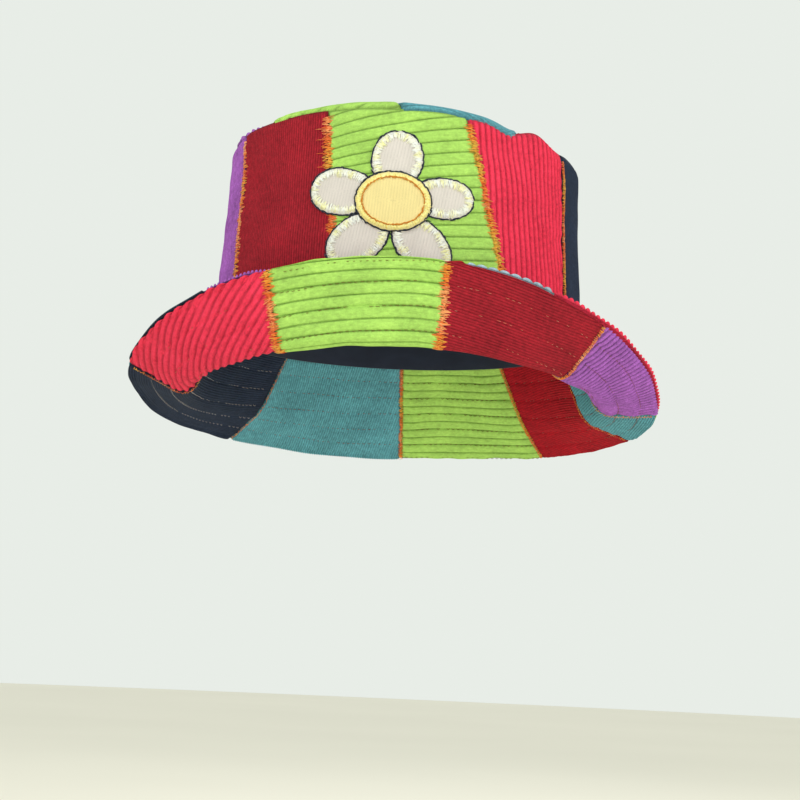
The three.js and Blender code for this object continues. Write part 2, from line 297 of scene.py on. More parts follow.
def tip_at(x, y, lift):
    """The crown's domed top. Its edge turns down to meet the side's top."""
    bearing = np.degrees(np.arctan2(x, -y))
    radius = np.maximum(np.hypot(x, y), 1e-6)
    edge = oval(CROWN_TOP, bearing)
    share = radius / edge
    level = lerp(CROWN_HEIGHT[0], around(CROWN_HEIGHT, bearing), share ** 2) + TIP_EDGE
    rise = TIP_DOME * (1 - share ** 2) + TIP_SHOULDER * (1 - share ** SHOULDER_POWER)
    sunk = 6.0 * near(bearing, 51, 13) + 2.0 * near(bearing, -50, 14)
    rise = rise - sunk * smooth(share, 0.55, 0.97)
    turn = 2.2 * smooth(share, 0.972, 1.004)
    steep = 2 * TIP_DOME * share + SHOULDER_POWER * TIP_SHOULDER * share ** (SHOULDER_POWER - 1)
    steep = steep / edge + 0.8 * smooth(share, 0.96, 1.0)
    out = lift * steep / np.hypot(steep, 1)
    up = lift / np.hypot(steep, 1)
    return np.stack([x + out * x / radius, y + out * y / radius, level + rise - turn + up], -1)


def settle(points):
    """The slight slump of a soft hat: the whole hat shares it, so its layers stay together."""
    x, y, z = np.moveaxis(points, -1, 0)
    bearing = np.degrees(np.arctan2(x, -y))
    radius = np.maximum(np.hypot(x, y), 1e-6)
    high = smooth(z, 30, 100)
    wide = smooth(radius, 100, 135) * smooth(-z, -40, 0)
    push = 1.2 * high * ripple(bearing / 9, z / 9, 3.5, 11)
    side = smooth(radius, 80, 92) * smooth(z, 60, 98)
    lift = 3.4 * near(bearing, 46, 6.5) * side - 1.8 * near(bearing, 34, 5) * side
    push = push - 2.0 * near(bearing, 36, 9) * side
    drop = 1.3 * wide * np.sin(np.radians(3 * bearing + 40))
    drop = drop + 0.7 * wide * np.sin(np.radians(7 * bearing + 10))
    return np.stack([x + push * x / radius, y + push * y / radius, z + drop + lift], -1)


# ---- meshes ----

def make_mesh(name, points, faces, attributes, material, sharp=38):
    """faces is a list of arrays, each of faces with the same number of corners."""
    mesh = bpy.data.meshes.new(name)
    mesh.vertices.add(len(points))
    mesh.vertices.foreach_set("co", (settle(points) * MM).astype(np.float32).ravel())
    loops = np.concatenate([f.ravel() for f in faces]).astype(np.int32)
    sizes = np.concatenate([np.full(len(f), f.shape[1]) for f in faces])
    mesh.loops.add(len(loops))
    mesh.loops.foreach_set("vertex_index", loops)
    mesh.polygons.add(len(sizes))
    starts = np.concatenate([[0], np.cumsum(sizes)[:-1]]).astype(np.int32)
    mesh.polygons.foreach_set("loop_start", starts)
    mesh.update(calc_edges=True)
    for key, values in attributes.items():
        kind = "FLOAT_VECTOR" if values.ndim == 2 else "FLOAT"
        layer = mesh.attributes.new(key, kind, "POINT")
        layer.data.foreach_set("vector" if values.ndim == 2 else "value", values.astype(np.float32).ravel())
    mesh.shade_smooth()
    mesh.set_sharp_from_angle(angle=math.radians(sharp))
    mesh.materials.append(material)
    piece = bpy.data.objects.new(name, mesh)
    bpy.context.scene.collection.objects.link(piece)
    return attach(piece, "root")


def samples(length, step):
    """Places from 0 to length, about a step apart and closer beside both ends."""
    inner = np.linspace(EDGE_ROWS[-1], length - EDGE_ROWS[-1], max(3, int(length / step)))
    edge = np.array(EDGE_ROWS[:-1])
    return np.concatenate([edge, inner, length - edge[::-1]])


def every(count, step):
    """Indices 0 to count - 1, a step apart, with both ends."""
    return np.unique(np.append(np.arange(0, count, step), count - 1))


def slab_faces(rows, columns):
    """Faces of a closed slab whose front is a full grid and whose back is a grid of every few points."""
    grid = np.arange(rows * columns).reshape(rows, columns)
    back_rows = every(rows, BACK_STEP)
    back_columns = every(columns, BACK_STEP)
    back = rows * columns + np.arange(len(back_rows) * len(back_columns))
    back = back.reshape(len(back_rows), len(back_columns))

    def quads(g, flip):
        q = np.stack([g[:-1, :-1], g[:-1, 1:], g[1:, 1:], g[1:, :-1]], -1).reshape(-1, 4)
        return q[:, ::-1] if flip else q

    def wall(front, behind, at, flip):
        strips = []
        for k in range(len(at) - 1):
            strip = list(front[at[k]:at[k + 1] + 1]) + [behind[k + 1], behind[k]]
            strips.append(np.array([strip[::-1] if flip else strip]))
        return strips

    walls = wall(grid[0], back[0], back_columns, True)
    walls += wall(grid[-1], back[-1], back_columns, False)
    walls += wall(grid[:, 0], back[:, 0], back_rows, False)
    walls += wall(grid[:, -1], back[:, -1], back_rows, True)
    return [quads(grid, False), quads(back, True), *walls], back_rows, back_columns


# ---- cloth ----

def rib_height(phase, flat):
    """0 in the groove between two ribs and 1 on top of a rib."""
    off = np.abs(phase - np.round(phase))
    rounded = 0.25 - 0.25 * np.cos(2 * math.pi * off) + 0.5 * np.sqrt(np.clip(4 * off * (1 - off), 0, 1))
    level = 1 - np.exp(-(off / 0.085) ** 2)
    return lerp(rounded, level, flat)


def weave_of(x, y, direction):
    """Flat places on a cloth, turned to lie across and along its ribs."""
    angle = np.radians(direction)
    return y * np.cos(angle) - x * np.sin(angle), x * np.cos(angle) + y * np.sin(angle)


def steps_for(pitch, flat, direction):
    """Distances between points along u and v, fine enough across the ribs."""
    across = pitch / (11 if flat else 7)
    lean = abs(np.mean(direction)) % 180
    if lean < 20 or lean > 160:
        return 1.5, across
    if 70 < lean < 110:
        return across, 1.5
    return 1.2 * across, 1.2 * across


def kept_height(side, mm_v, length, free_end):
    """How much of their height ribs keep. They are pressed flat beside a seam, and not at a free end."""
    pressed = smooth(np.minimum(side, mm_v), -0.4, 2.4)
    return pressed * smooth(length - mm_v, -0.4, 0.8 if free_end else 2.4)


def sewn_down(mm_v, rows):
    """1 along each row of stitching, and 0 away from it."""
    sewn = np.zeros_like(mm_v)
    for row in rows:
        sewn = np.maximum(sewn, near(mm_v, row, 1.3))
    return sewn


def slack(mm_u, mm_v, side, end, x, y, seed):
    """Dips at the edges, puckers beside the seams and the unevenness of the cloth itself."""
    dips = SEAM_DIP * (near(side, 0, 0.9) + near(end, 0, 0.9))
    pucker = np.exp(-side / 7) * ripple(mm_v, mm_u / 4, 3.8, seed + 2) * (1 - np.exp(-end / 3))
    return 0.32 * pucker + 0.35 * ripple(x, y, 22, seed + 3) - dips


def close_cloth(name, surface, u, v, relief, face, back, weave, rib, material):
    """The mesh of a cloth: a seen side with relief, and a plain hidden side."""
    outward = 1 if face > back else -1
    faces, back_rows, back_columns = slab_faces(*u.shape)
    hidden = np.ix_(back_rows, back_columns)
    front = surface(u, v, face + outward * relief)
    behind = surface(u[hidden], v[hidden], back)
    points = np.concatenate([front.reshape(-1, 3), behind.reshape(-1, 3)])
    if outward < 0:
        faces = [f[:, ::-1] for f in faces]

    def both(g):
        width = g.shape[2:]
        return np.concatenate([g.reshape(-1, *width), g[hidden].reshape(-1, *width)])

    # The rib attribute also tells the cloth's material where to paint shade into the grooves.
    return make_mesh(name, points, faces, {"weave": both(weave), "rib": both(rib)}, material)


def make_cloth(node, cloth, surface, size, flat_place, direction, face, back, seed, rows=(),
               free_end=False):
    """A closed piece of corduroy in place of a CAD node. surface(u, v, lift) and flat_place(u, v) take
    shares of the patch. face and back are the lifts of its seen and hidden sides. The ribs of a cloth with
    a free end keep their height up to it."""
    pitch, tall, flat, _, _ = RIBS[CLOTHS[cloth][0]]
    pitch = pitch * BROADER.get(node, 1.0)
    step_u, step_v = steps_for(pitch, flat, direction)
    mm_u, mm_v = np.meshgrid(samples(size[0], step_u), samples(size[1], step_v), indexing="ij")
    u, v = mm_u / size[0], mm_v / size[1]
    side = np.minimum(mm_u, size[0] - mm_u)
    end = np.minimum(mm_v, size[1] - mm_v)
    x, y = flat_place(u, v)
    wander = 0.35 * ripple(x, y, 45, seed) * min(1.0, pitch / 3)
    across, along = weave_of(x, y, lerp(np.min(direction), np.max(direction), v))
    rib = rib_height((across + wander) / pitch, flat) * kept_height(side, mm_v, size[1], free_end)
    uneven = 1 + 0.18 * ripple(along, across / 3, 9, seed + 1)
    proud = 1 + 0.9 * near(size[1] - mm_v, 2.4, 2.2) * free_end
    relief = tall * proud * (rib * uneven - 1) + slack(mm_u, mm_v, side, end, x, y, seed)
    relief = relief - 0.55 * sewn_down(mm_v, rows) * smooth(side, 0, 3)
    weave = np.stack([across + wander, along, np.full_like(across, 37.0 * seed)], -1)
    piece = close_cloth(f"cloth_{node}", surface, u, v, relief, face, back, weave, rib, corduroy(cloth))
    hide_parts(node)
    return piece


def declare(size, area):
    """Takes a piece's flat size in millimetres and its area in square millimetres, and caps the area at the
    size's product; nothing is kept.
    """
    width, length = size
    area = min(area, width * length)


def stand_for(node, size, area):
    """Hides a CAD node that a piece of its own stands in for, and hands its size and area to declare."""
    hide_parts(node)
    declare(size, area)


def patch_ends(patches, i, key):
    """Where a patch starts and ends, at one of its rows of bearings."""
    wraps = i + 1 == len(patches)
    return patches[i][key], patches[(i + 1) % len(patches)][key] + (360 if wraps else 0)


def make_crown_side():
    for i, (name, cloth, _, _, direction) in enumerate(CROWN_PATCHES):
        top = patch_ends(CROWN_PATCHES, i, 2)
        foot = patch_ends(CROWN_PATCHES, i, 3)
        middle = (sum(top) + sum(foot)) / 4
        height = float(around(CROWN_HEIGHT, middle))
        width = math.radians((top[1] - top[0] + foot[1] - foot[0]) / 2) * PATCH_RADIUS

        def bearing_of(u, v):
            start = lerp(foot[0], top[0], v)
            end = lerp(foot[1], top[1], v)
            return lerp(start, end, u)

        def surface(u, v, lift):
            bearing = bearing_of(u, v)
            return crown_at(bearing, lerp(PATCH_START, around(CROWN_HEIGHT, bearing), v), lift)

        def flat_place(u, v):
            return np.radians(bearing_of(u, v) - middle) * PATCH_RADIUS, v * height

        size = (width, height - PATCH_START)
        piece = make_cloth(f"crown_side_{name}", cloth, surface, size, flat_place, direction,
                           FACE_LIFT, -CLOTH, 100 + i)
        wide = math.radians(max(top[1], foot[1]) - min(top[0], foot[0])) * PATCH_RADIUS
        declare((wide, size[1]), size[0] * size[1])


def upper_reach(bearing):
    """How far the upper cloth rolls out past the under cloth. The thick green cloth hides it."""
    bearing = (np.asarray(bearing) + 180) % 360 - 180
    hidden = smooth(bearing, -36, -29) * (1 - smooth(bearing, 8, 15))
    return lerp(1.1, -0.7, hidden) + 0.9 * near(bearing, 52, 30)


def under_reach(bearing):
    return np.full(np.shape(bearing), 0.2)


def rolled(run, rise, width, curl, reach):
    """The run and height off the brim of a point in a cloth whose outer edge rolls over towards the
    other cloth. rise is its height off the cloth's face."""
    over = np.clip((run - (width + reach - curl)) / curl, 0, math.pi / 2)
    flat_run = np.minimum(run, width + reach - curl)
    return flat_run + (curl + rise) * np.sin(over), rise * np.cos(over) - curl * (1 - np.cos(over))


MIDDLE_RUN = 40.0  # where the flat width of a brim patch is measured
MIDDLE_TO_EDGE = 25  # its outer edge beyond that
STEEPEST_CONE = 0.55  # the least that a patch's ribs open out like a fan's


def radius_at(bearing, run):
    point = brim_at(bearing, run, 0.0)
    return math.hypot(point[0], point[1])


def make_brim_layer(prefix, patches, face, back, curl, reach, start, seed):
    outward = 1 if face > back else -1
    for i, (name, cloth, _, direction) in enumerate(patches):
        first, last = patch_ends(patches, i, 2)
        middle = (first + last) / 2
        width = float(around(BRIM_WIDTH, middle))
        length = width + float(reach(middle)) - curl + curl * math.pi / 2 - start
        radius = radius_at(middle, MIDDLE_RUN)
        cone = max(math.cos(math.radians(float(around(OUTER_SLOPE, middle)))), STEEPEST_CONE)

        def surface(u, v, lift):
            bearing = lerp(first, last, u)
            width = around(BRIM_WIDTH, bearing)
            longest = width + reach(bearing) - curl + curl * math.pi / 2
            run = start + v * (longest - start)
            run, rise = rolled(run, outward * (lift - face), width, curl, reach(bearing))
            return brim_at(bearing, run, face + outward * rise)

        def flat_place(u, v):
            angle = np.radians(lerp(first, last, u) - middle) * cone
            run = start + v * length
            if direction == 0:
                return angle * radius / cone, run
            reach_out = radius / cone - MIDDLE_RUN + run
            return reach_out * np.sin(angle), reach_out * np.cos(angle) - radius / cone

        size = (math.radians(last - first) * radius, length)
        rows = [row - start for row in STITCH_ROWS]
        piece = make_cloth(f"{prefix}_{name}", cloth, surface, size, flat_place, direction, face, back,
                           seed + i, rows, True)
        outer = math.radians(last - first) * (radius + MIDDLE_TO_EDGE)
        declare((outer, length), size[0] * size[1])


def make_tip():
    slant = math.radians(TIP_SLANT)
    for i, (name, cloth, start, direction) in enumerate(TIP_STRIPS):
        end = TIP_STRIPS[i + 1][2] if i + 1 < len(TIP_STRIPS) else TIP_END

        def flat_place(u, v):
            across = lerp(start, end, u)
            half = CROWN_TOP[1] * np.sqrt(np.maximum(1 - (across / CROWN_TOP[0]) ** 2, 0))
            return across, half * (2 * v - 1)

        def surface(u, v, lift):
            across, along = flat_place(u, v)
            x = across * math.cos(slant) - along * math.sin(slant)
            y = across * math.sin(slant) + along * math.cos(slant)
            bearing = np.degrees(np.arctan2(x, -y))
            limit = oval(CROWN_TOP, bearing) / np.maximum(np.hypot(x, y), 1e-6)
            keep = np.minimum(limit, 1)
            return tip_at(x * keep, y * keep, lift)

        across, along = flat_place(np.array([0.0, 0.5, 1.0]), 1.0)
        size = (end - start, 2 * float(np.max(along)))
        piece = make_cloth(f"crown_tip_{name}", cloth, surface, size, flat_place, direction,
                           FACE_LIFT, -CLOTH, 300 + i)
        u = np.linspace(0, 1, 60)
        area = (end - start) * 2 * float(np.mean(flat_place(u, 1.0)[1]))
        declare(size, area)


# ---- plain inner cloths ----

def make_ring(name, surface, rows, columns, material):
    """A closed ring. surface(u, v, w) takes shares round, along and through it."""
    turn = np.linspace(0, 1, columns, endpoint=False)
    w = np.array([0.0] * rows + [1.0] * rows)
    v = np.concatenate([np.linspace(0, 1, rows), np.linspace(1, 0, rows)])
    u = turn[:, None]
    points = surface(u, v[None, :], w[None, :])
    grid = np.arange(points.shape[0] * points.shape[1]).reshape(points.shape[:2])
    right = np.roll(grid, -1, axis=0)
    up = np.roll(grid, -1, axis=1)
    corner = np.roll(right, -1, axis=1)
    faces = np.stack([grid, up, corner, right], -1).reshape(-1, 4)
    flat = points.reshape(-1, 3)
    around_mm = np.broadcast_to(u * 600, grid.shape).ravel()
    along_mm = np.broadcast_to(v[None, :] * 60, grid.shape).ravel()
    weave = np.stack([around_mm, along_mm, np.full(len(flat), 5.0)], -1)
    attributes = {"weave": weave, "rib": np.ones(len(flat))}
    return make_mesh(name, flat, [faces], attributes, material)


def make_inside():
    def side(u, v, w):
        height = lerp(1.5, around(CROWN_HEIGHT, 360 * u) - 0.3, v)
        crease = 0.5 * ripple(360 * u, height / 6, 7, 41) * np.sin(math.pi * v)
        return crown_wall(360 * u, height, -2.0 - 0.5 * w - np.maximum(crease, 0))

    lining = plain_weave("lining", LINING, 0.5)
    piece = make_ring("lining_side", side, 40, 240, lining)
    area = math.prod(SIDE_LINING)
    stand_for("crown_lining_side", SIDE_LINING, area)

    def band(u, v, w):
        bead = 0.25 * np.sin(math.pi * v) ** 0.3
        return crown_wall(360 * u, lerp(-1.5, 27, v), -2.7 - (0.75 + bead) * w)

    piece = make_ring("band_sweat", band, 14, 240, plain_weave("twill", BAND, 1.0))
    stand_for("sweatband", SWEATBAND, math.prod(SWEATBAND))

    def stiffener(u, v, w):
        bearing = 360 * u
        return brim_at(bearing, v * (around(BRIM_WIDTH, bearing) - 2.5), lerp(*STIFFENER, w))

    piece = make_ring("stiffener_brim", stiffener, 40, 180, plain_weave("stiffener", STIFFENER_COLOUR, 0.4))
    area = STIFFENER_LENGTH * STIFFENER_SHEET[1]
    stand_for("brim_interfacing", STIFFENER_SHEET, area)
    make_tip_lining(lining)


def disc_faces(rings, spokes):
    """Faces of a closed disc: a face and a back of rings round two middle points, joined at the rim."""
    def side(middle):
        ring = middle + 1 + np.arange(rings * spokes).reshape(rings, spokes)
        after = np.roll(ring, -1, axis=1)
        fan = np.stack([np.full(spokes, middle), ring[0], after[0]], -1)
        quads = np.stack([ring[:-1], ring[1:], after[1:], after[:-1]], -1).reshape(-1, 4)
        return fan, quads, ring[-1], after[-1]

    count = 1 + rings * spokes
    fan, quads, rim, rim_after = side(0)
    fan_back, quads_back, rim_back, rim_back_after = side(count)
    wall = np.stack([rim, rim_back, rim_back_after, rim_after], -1)
    return [fan, quads, fan_back[:, ::-1], quads_back[:, ::-1], wall]


def make_disc(name, outline, surface, rings, spokes, relief, material, direction=90.0):
    """A closed disc. outline(turn, share) gives flat places, and surface(x, y, w, lift) a point."""
    turn = np.linspace(0, 1, spokes, endpoint=False)
    share = np.linspace(0, 1, rings + 1)[1:] ** 0.8
    x, y = outline(turn[None, :], share[:, None])
    x0, y0 = outline(np.zeros(1), np.zeros(1))
    x = np.concatenate([x0, x.ravel()])
    y = np.concatenate([y0, y.ravel()])
    depth = np.concatenate([[0.0], np.repeat(share, spokes)])
    across, along = weave_of(x, y, direction)
    height, rib = relief(across, along, depth)
    front = surface(x, y, 1, height)
    behind = surface(x, y, 0, 0 * height)
    weave = np.stack([across, along, np.full_like(across, len(name))], -1)
    # For the daisy's cloths, rib also tells their material where to paint shade into the grooves.
    attributes = {"weave": np.tile(weave, (2, 1)), "rib": np.tile(rib, 2)}
    faces = disc_faces(rings, spokes)
    return make_mesh(name, np.concatenate([front, behind]), faces, attributes, material, sharp=60)


def make_tip_lining(material):
    def outline(turn, share):
        edge = oval(CROWN_TOP, 360 * turn) - 2.3
        point = place(360 * turn, edge * share, 0)
        return point[..., 0], point[..., 1]

    def relief(across, along, depth):
        return 0.4 * ripple(across, along, 18, 43) * (1 - depth), np.ones_like(depth)

    def surface(x, y, w, lift):
        return tip_at(x, y, -2.3 + 0.5 * w + np.minimum(lift, 0) * w)

    piece = make_disc("lining_tip", outline, surface, 22, 96, relief, material)
    area = math.pi / 4 * math.prod(TIP_LINING)
    stand_for("crown_lining_tip", TIP_LINING, area)


# ---- the daisy ----

def flower_at(x, y, lift):
    """A flat place about the daisy's middle, laid on the crown."""
    bearing = FLOWER[0] + np.degrees(x / CROWN_TOP[1])
    return crown_wall(bearing, FLOWER[1] + y, lift)


def squared(value):
    """A sine or cosine that makes an outline a little squarer than an oval."""
    return np.sign(value) * np.abs(value) ** PETAL_SHAPE


def petal_outline(direction, root, reach, half_width, lean):
    middle = (reach + root) / 2
    heading = math.radians(direction)

    def outline(turn, share):
        angle = 2 * math.pi * turn
        along = middle + share * (reach - middle) * squared(np.cos(angle))
        shift = lean * ((reach - along) / (reach - root)) ** 2
        across = share * half_width * squared(np.sin(angle)) + shift
        x = along * math.cos(heading) - across * math.sin(heading)
        y = along * math.sin(heading) + across * math.cos(heading)
        return x, y

    return outline


def disc_outline(turn, share):
    across = share * DISC[0] * np.cos(2 * math.pi * turn)
    up = share * DISC[1] * np.sin(2 * math.pi * turn)
    tilt = math.radians(DISC_TILT)
    return across * math.cos(tilt) - up * math.sin(tilt), across * math.sin(tilt) + up * math.cos(tilt)


def ribbed_relief(pitch, tall, puff):
    def relief(across, along, depth):
        rib = rib_height(across / pitch, 0.0)
        cushion = puff * (1 - depth ** 4)
        return cushion + tall * (rib - 1) * smooth(1 - depth, 0, 0.15) - 0.6 * smooth(depth, 0.93, 1.0), rib

    return relief


def make_flower():
    petal_cloth = flower_cloth("petal", PETAL_COLOUR)
    for name, direction, root, reach, half_width, lean in PETALS:
        outline = petal_outline(direction, root, reach, half_width, lean)

        def surface(x, y, w, lift):
            return flower_at(x, y, lerp(0.35, 1.2, w) + lift * w)

        relief = ribbed_relief(1.5, 0.16, 0.5)
        piece = make_disc(f"cloth_{name}", outline, surface, 26, 120, relief, petal_cloth, 80.0)
        size = (2 * half_width, reach - root)
        area = math.pi / 4 * math.prod(size)
        stand_for(name, size, area)

    def surface(x, y, w, lift):
        return flower_at(x, y, lerp(1.7, 2.6, w) + lift * w)

    disc = flower_cloth("disc", DISC_COLOUR)
    relief = ribbed_relief(1.35, 0.22, 0.7)
    piece = make_disc("cloth_flower_centre", disc_outline, surface, 30, 140, relief, disc, 86.0)
    size = (2 * DISC[0], 2 * DISC[1])
    stand_for("flower_centre", size, math.pi * math.prod(DISC))


# ---- threads ----

THREAD_SIDES = 5

# How far a stitch stands off the cloth at each of its points.
SEAM_RISE = np.array([-0.6, 0.1, 0.25, 0.1, -0.6])
ROW_RISE = np.array([-0.9, 0.0, 0.2, 0.0, -0.9])
SATIN_RISE = np.array([-0.6, 0.15, 0.5, 0.75, 0.5])
OUTLINE_RISE = np.array([-0.35, 0.12, 0.2, 0.12, -0.35])

STITCH_PITCH = 3.1
STITCH_LENGTH = 2.2
SATIN_PITCH = 0.34
FINE_TURNS = np.linspace(0, 1, 721)  # places round an outline


def make_threads(name, paths, ups, radius, tints, material):
    """Closed tubes, one for each path of points. ups are directions off the cloth, tints 0 to 1."""
    count, points, _ = paths.shape
    ahead = np.gradient(paths, axis=1)
    ahead = ahead / np.maximum(np.linalg.norm(ahead, axis=-1, keepdims=True), 1e-9)
    across = np.cross(ahead, ups)
    across = across / np.maximum(np.linalg.norm(across, axis=-1, keepdims=True), 1e-9)
    up = np.cross(across, ahead)
    taper = np.ones(points)
    taper[[0, -1]] = 0.45
    angle = 2 * math.pi * np.arange(THREAD_SIDES) / THREAD_SIDES
    ring = np.cos(angle)[:, None] * across[:, :, None, :] + np.sin(angle)[:, None] * up[:, :, None, :]
    wide = np.broadcast_to(np.asarray(radius, float).reshape(-1, 1, 1, 1), (count, 1, 1, 1))
    corners = paths[:, :, None, :] + ring * wide * taper[None, :, None, None]
    index = np.arange(count * points * THREAD_SIDES).reshape(count, points, THREAD_SIDES)
    after = np.roll(index, -1, axis=2)
    quads = np.stack([index[:, :-1], after[:, :-1], after[:, 1:], index[:, 1:]], -1).reshape(-1, 4)
    caps = np.concatenate([index[:, 0, ::-1], index[:, -1]])
    tint = np.repeat(np.asarray(tints, float), points * THREAD_SIDES)
    return make_mesh(name, corners.reshape(-1, 3), [quads, caps], {"tint": tint}, material, sharp=80)


def stitches(surface, starts, ends, lifts):
    """Paths from starts to ends, which are places (a, b) on a surface, at the given lifts on the way."""
    share = np.linspace(0, 1, len(lifts))
    share = share + 0.08 * np.sin(2 * math.pi * share)
    a = starts[0][:, None] + (ends[0] - starts[0])[:, None] * share
    b = starts[1][:, None] + (ends[1] - starts[1])[:, None] * share
    path = surface(a, b, np.broadcast_to(lifts, a.shape))
    ups = surface(a, b, np.broadcast_to(lifts + 1, a.shape)) - path
    return path, ups


def zigzag(rng, length, width, pitch, passes):
    """Ends of the legs of an irregular zigzag: (across, along) places for each leg's two ends."""
    starts, ends = [], []
    for k in range(passes):
        count = int(length / pitch)
        along = (np.arange(count) + 0.5 * k) * pitch + rng.normal(0, 0.16 * pitch, count)
        left = -width / 2 * rng.uniform(0.45, 1.3, count)
        right = width / 2 * rng.uniform(0.45, 1.3, count)
        along = np.clip(along, 0.4, length - 0.4)
        onward = np.clip(along + pitch * rng.uniform(-0.1, 1.1, count), 0.4, length - 0.4)
        starts.append(np.stack([left, along]))
        ends.append(np.stack([right, onward]))
        starts.append(np.stack([right[:-1], onward[:-1]]))
        ends.append(np.stack([left[1:], along[1:]]))
    return np.concatenate(starts, 1), np.concatenate(ends, 1)


def variegated(along, rng, shift=0.0):
    """The tint of a thread dyed in several colours along its length."""
    dyed = 0.5 + shift + 0.30 * np.sin(along / 7.0 + 5 * shift)
    return np.clip(dyed + rng.normal(0, 0.16, along.shape), 0, 1)


def sew_seam(surface, across_to, length, width, pitch, passes, lift, shift, seed, outward=1):
    """Zigzag over a seam. across_to(across, along) gives places on the surface from millimetres."""
    rng = np.random.default_rng(seed)
    starts, ends = zigzag(rng, length, width, pitch, passes)
    path, ups = stitches(surface, across_to(*starts), across_to(*ends), outward * SEAM_RISE + lift)
    tints = variegated((starts[1] + ends[1]) / 2, rng, shift)
    radius = (0.11 + 0.01 * width) * rng.uniform(0.8, 1.2, len(path))
    return path, outward * ups, radius, tints


def joined(batches):
    return [np.concatenate(part) for part in zip(*batches)]


def join_threads(name, batches, material):
    piece = make_threads(name, *joined(batches), material)
    return piece


# How much of a patch's topstitching shows, and its tint.
ROW_SHOWN = {"pink_red": 0.15, "maroon": 0.6, "crimson": 0.5, "pale_blue": 0.3}
ROW_TINTS = {"green": 0.0, "maroon": 0.6, "purple": 0.3, "teal": 0.25, "crimson": 0.35, "navy": 1.0,
             "pink_red": 0.45, "pale_blue": 0.9}

BOLD = ((6.4, 1.7, 2), (3.2, 1.0, 1))  # zigzags, each with its width, pitch and passes
PLAIN = ((2.6, 1.2, 2),)
THIN = ((1.3, 2.0, 1),)
CROWN_SEAMS = (BOLD, BOLD, PLAIN, PLAIN, PLAIN, PLAIN, PLAIN, PLAIN, BOLD)
UNDER_SEAMS = (BOLD, ((7.4, 1.6, 2), (3.4, 1.0, 1)), PLAIN, THIN, THIN, PLAIN, PLAIN, THIN, THIN)
UPPER_SEAMS = (PLAIN,) * 9
CROWN_SHIFTS = (0.12, -0.05, 0.1, 0.0, 0.05, -0.1, 0.0, 0.1, 0.22)  # each seam's shift in colour
BRIM_SHIFTS = (0.18, 0.25, 0.2, 0.1, 0.1, 0.0, 0.1, 0.2, 0.15)
STRAY_HEIGHTS = np.array([90.0, 84.5, 77.5, 70.5, 60.0])
STRAY_LENGTH = 7.2
SEAM_LIFT = 0.45  # of a zigzag above the crown's cloth


def sew_crown():
    batches = []
    for i, (_, _, top, foot, _) in enumerate(CROWN_PATCHES):
        height = float(around(CROWN_HEIGHT, top))

        def across_to(across, along):
            bearing = lerp(foot, top, along / height)
            return bearing + np.degrees(across / PATCH_RADIUS), along

        for zigzags in CROWN_SEAMS[i]:
            batches.append(sew_seam(crown_at, across_to, height - 2.5, *zigzags, SEAM_LIFT,
                                    CROWN_SHIFTS[i], 500 + i))
    batches.append(sew_strays())
    thread = thread_material("seam_thread", SEAM_COLOURS)
    join_threads("zigzag_crown", batches, thread)


def sew_strays():
    """Long stitches that run out of the seam at the green cloth's left, near the crown's top."""
    _, _, top, foot, _ = CROWN_PATCHES[0]
    seam = lerp(foot, top, STRAY_HEIGHTS / float(around(CROWN_HEIGHT, top)))
    starts = (seam - math.degrees(STRAY_LENGTH / PATCH_RADIUS), STRAY_HEIGHTS + 0.6)
    ends = (seam + math.degrees(0.5 / PATCH_RADIUS), STRAY_HEIGHTS)
    path, ups = stitches(crown_at, starts, ends, SEAM_RISE + SEAM_LIFT)
    return path, ups, np.full(len(path), 0.19), np.linspace(0.85, 0.6, len(path))


def sew_brim(name, patches, lift, outward, seams, seed):
    batches = []
    for i, (_, _, start, _) in enumerate(patches):
        width = float(around(BRIM_WIDTH, start))

        def across_to(across, along):
            point = brim_at(start, along, 0.0)
            return start + np.degrees(across / np.hypot(point[..., 0], point[..., 1])), along

        for zigzags in seams[i]:
            batches.append(sew_seam(brim_at, across_to, width - 0.5, *zigzags, lift, BRIM_SHIFTS[i],
                                    seed + i, outward))
    join_threads(name, batches, thread_material("seam_thread", SEAM_COLOURS))


def topstitch(name, patches, lift, outward, seed):
    """Rows of running stitches round the brim, in each patch's own thread colour. Many sink out of sight
    in the pile, and only the green cloth has a row at the brim's edge."""
    rng = np.random.default_rng(seed)
    batches = []
    for i, (_, cloth, _, _) in enumerate(patches):
        first, last = patch_ends(patches, i, 2)
        for row in STITCH_ROWS:
            radius = radius_at((first + last) / 2, row)
            stitch = math.degrees(STITCH_LENGTH / radius)
            count = int(math.radians(last - first) * radius / STITCH_PITCH) - 1
            start = first + stitch + np.arange(count) * math.degrees(STITCH_PITCH / radius)
            end = start + stitch * rng.uniform(0.85, 1.05, count)
            wobble = row + 0.25 * np.sin(start / 3) + rng.normal(0, 0.08, count)
            shown = rng.uniform(0, 1, count) < ROW_SHOWN.get(cloth, 0.85)
            shown = shown & ((row < STITCH_ROWS[-1]) | (cloth == "green"))
            starts, ends = (start[shown], wobble[shown]), (end[shown], wobble[shown])
            path, ups = stitches(brim_at, starts, ends, outward * ROW_RISE + lift)
            size = np.full(len(path), 0.17 if cloth == "green" else 0.13)
            tint = np.clip(ROW_TINTS[cloth] + rng.normal(0, 0.03, len(path)), 0, 1)
            batches.append((path, outward * ups, size, tint))
    join_threads(name, batches, thread_material("row_thread", ROW_COLOURS))


def walked(x, y):
    """How far along a line of points each of them is."""
    return np.concatenate([[0], np.cumsum(np.hypot(np.diff(x), np.diff(y)))])


